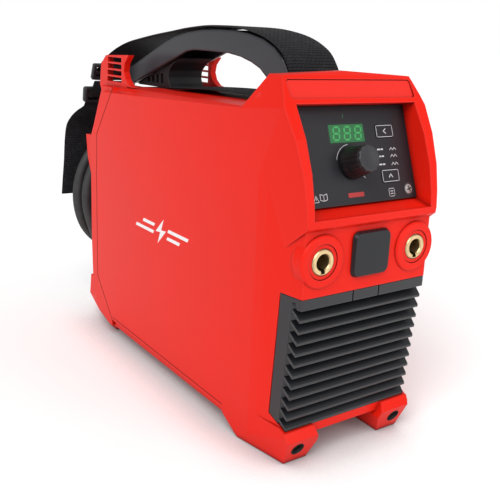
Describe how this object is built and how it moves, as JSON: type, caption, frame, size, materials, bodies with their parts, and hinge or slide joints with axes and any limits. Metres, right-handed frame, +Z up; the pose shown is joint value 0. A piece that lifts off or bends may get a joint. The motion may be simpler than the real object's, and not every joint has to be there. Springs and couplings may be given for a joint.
{
  "type": "portable welding power source",
  "caption": "Portable inverter stick-welding power source with carrying handle, shoulder strap, front louvred grille, tilted control panel, current sockets and coiled mains cable.",
  "frame": {"origin": "middle of the footprint on the floor, measured without the mains cable, its plug and the hanging end of the webbing", "axes": "+Z up; -Y is the front, with the control panel and the current sockets; +X is to the right when looking at the front"},
  "size_m": [0.1692, 0.4102, 0.3056],
  "materials": {
    "red_shell": "moulded, satin",
    "black_grille": "moulded, fine grain",
    "panel": "printed film",
    "display": "lit window",
    "knob": "moulded",
    "knob_cap": "moulded",
    "encoder": "plain",
    "sockets": "turned",
    "black_parts": "moulded",
    "handle": "moulded, fine grain",
    "webbing": "woven band",
    "rubber": "cable sheath",
    "bright_steel": "plated",
    "circuit_board": "solder mask",
    "copper": "copper, drawn",
    "heat_sink": "extruded",
    "ferrite": "ferrite"
  },
  "bodies": {
    "housing": {"main_housing": "red_shell", "rear_frame": "red_shell", "base_plate": "red_shell", "name_plate": "red_shell", "insulator_left": "red_shell", "insulator_right": "red_shell", "front_grille": "black_grille", "rear_grille": "black_grille", "blanking_cover": "black_grille", "control_panel": "panel", "display_window": "display", "display_module": "display", "encoder": "encoder", "socket_left": "sockets", "socket_right": "sockets", "handle_insert": "black_parts", "strap_slider": "black_parts", "strap_buckle": "black_parts", "fan_frame": "black_parts", "switch_bezel": "black_parts", "cable_gland": "black_parts", "capacitor_front": "black_parts", "capacitor_rear": "black_parts", "handle": "handle", "strap_upper": "webbing", "strap_lower": "webbing", "cable_strap": "webbing", "strain_relief": "rubber", "mains_cable": "rubber", "mains_cable_tail": "rubber", "mains_coil": "rubber", "mains_plug": "rubber", "panel_screw": "bright_steel", "rear_screw_1": "bright_steel", "rear_screw_2": "bright_steel", "rear_screw_3": "bright_steel", "rear_screw_4": "bright_steel", "plug_pin_left": "bright_steel", "plug_pin_right": "bright_steel", "control_board": "circuit_board", "power_board": "circuit_board", "busbar_left": "copper", "busbar_right": "copper", "transformer_winding": "copper", "output_choke": "copper", "heatsink_left": "heat_sink", "heatsink_right": "heat_sink", "transformer_core": "ferrite"},
    "knob": {"control_knob": "knob", "knob_cap": "knob_cap"},
    "process_key": {"process_key": "panel"},
    "mode_key": {"mode_key": "panel"},
    "fan": {"fan_rotor": "black_parts"},
    "rocker": {"mains_rocker": "black_parts"}
  },
  "joints": [
    {"name": "knob_turn", "type": "hinge", "parent": "housing", "child": "knob", "pos_m": [-0.0045, -0.1689, 0.216], "axis": [0, -0.9397, 0.342], "continuous": true},
    {"name": "process_key_press", "type": "slide", "parent": "housing", "child": "process_key", "axis": [0, 0.9397, -0.342], "range_m": [0, 0.0008], "stiffness_N_per_m": 400},
    {"name": "mode_key_press", "type": "slide", "parent": "housing", "child": "mode_key", "axis": [0, 0.9397, -0.342], "range_m": [0, 0.0008], "stiffness_N_per_m": 400},
    {"name": "fan_spin", "type": "hinge", "parent": "housing", "child": "fan", "pos_m": [0, 0.1397, 0.092], "axis": [0, 1, 0], "continuous": true},
    {"name": "rocker_tilt", "type": "hinge", "parent": "housing", "child": "rocker", "pos_m": [0.029, 0.1612, 0.166], "axis": [1, 0, 0], "range_deg": [-22, 0]}
  ]
}
